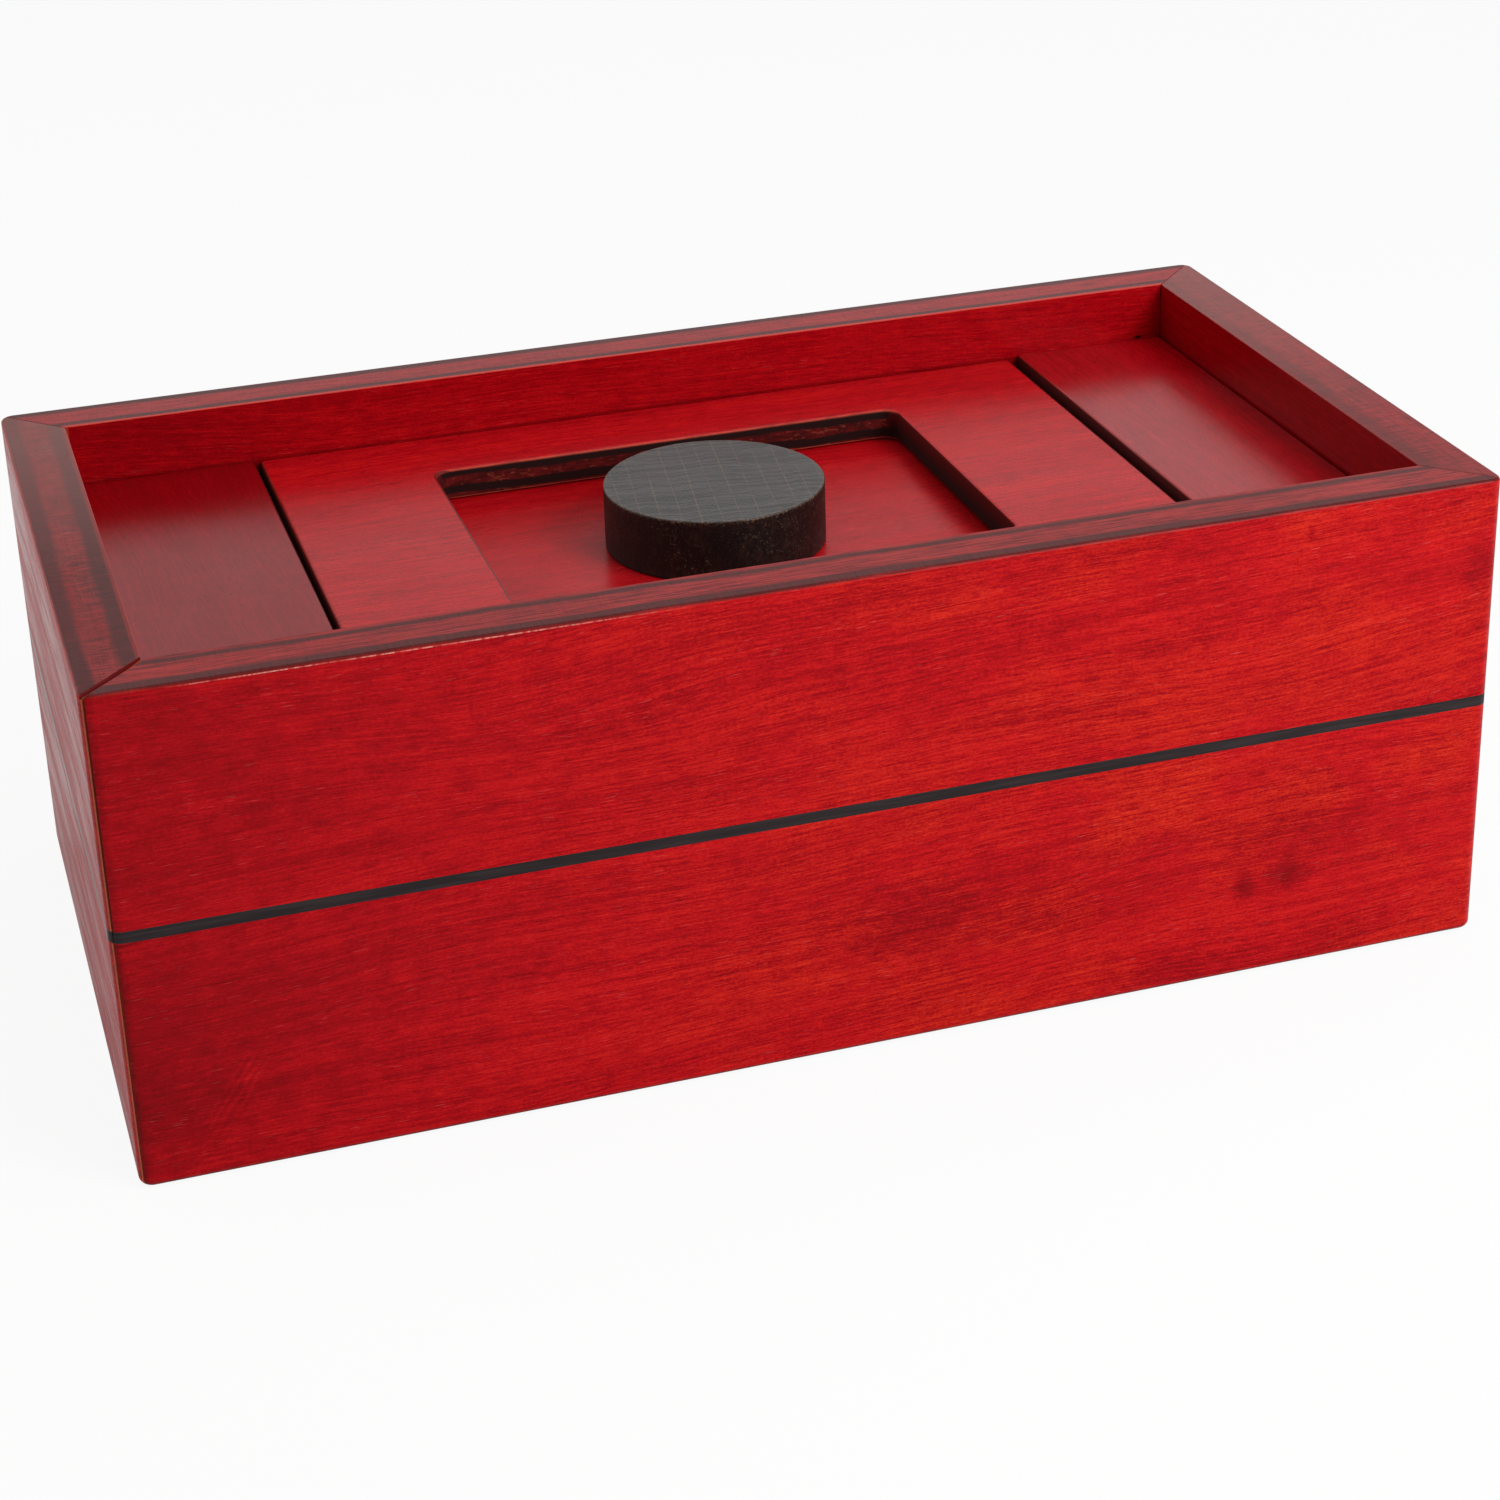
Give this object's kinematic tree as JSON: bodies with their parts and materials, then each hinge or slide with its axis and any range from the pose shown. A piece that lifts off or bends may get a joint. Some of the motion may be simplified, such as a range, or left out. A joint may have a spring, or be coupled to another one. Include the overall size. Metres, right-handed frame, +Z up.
{
  "type": "wooden puzzle box",
  "caption": "Red stained plywood box with a black line round it and a sunk deck, where a round knob in a window slides a hidden bolt that holds or frees the lift-off lid.",
  "frame": {"origin": "middle of the resting face, on the surface that the box stands on", "axes": "+X along the length to the right, -Y to the front, +Z up out of the deck"},
  "size_m": [0.2, 0.107, 0.0732],
  "materials": {
    "red_ply": "red stain under clear lacquer",
    "black_line": "black stain, satin",
    "black_knob": "black stained end grain, satin",
    "natural_ply": "bare plywood"
  },
  "bodies": {
    "base": {"base_front_wall": "red_ply", "base_back_wall": "red_ply", "base_left_wall": "red_ply", "base_right_wall": "red_ply", "bottom_panel": "natural_ply", "liner_front": "natural_ply", "liner_back": "natural_ply", "liner_left": "natural_ply", "liner_right": "natural_ply"},
    "lid": {"lid_front_wall": "red_ply", "lid_back_wall": "red_ply", "lid_left_wall": "red_ply", "lid_right_wall": "red_ply", "band_front": "black_line", "band_back": "black_line", "band_left": "black_line", "band_right": "black_line", "left_end_panel": "red_ply", "right_end_panel": "red_ply", "rail_front": "natural_ply", "rail_back": "natural_ply", "cover_plate": "natural_ply"},
    "shift_panel": {"shift_panel": "red_ply"},
    "knob_slider": {"knob": "black_knob", "knob_dowel": "natural_ply", "slider_plate": "red_ply", "bolt_bar": "natural_ply", "runner_front": "natural_ply", "runner_back": "natural_ply"}
  },
  "joints": [
    {"name": "lid_lift", "type": "slide", "parent": "base", "child": "lid", "axis": [0, 0, 1], "range_m": [0, 0.05]},
    {"name": "knob_slide", "type": "slide", "parent": "lid", "child": "knob_slider", "axis": [1, 0, 0], "range_m": [-0.0167, 0.0193]},
    {"name": "panel_shift", "type": "slide", "parent": "lid", "child": "shift_panel", "axis": [1, 0, 0], "range_m": [-0.0008, 0.0015]}
  ]
}
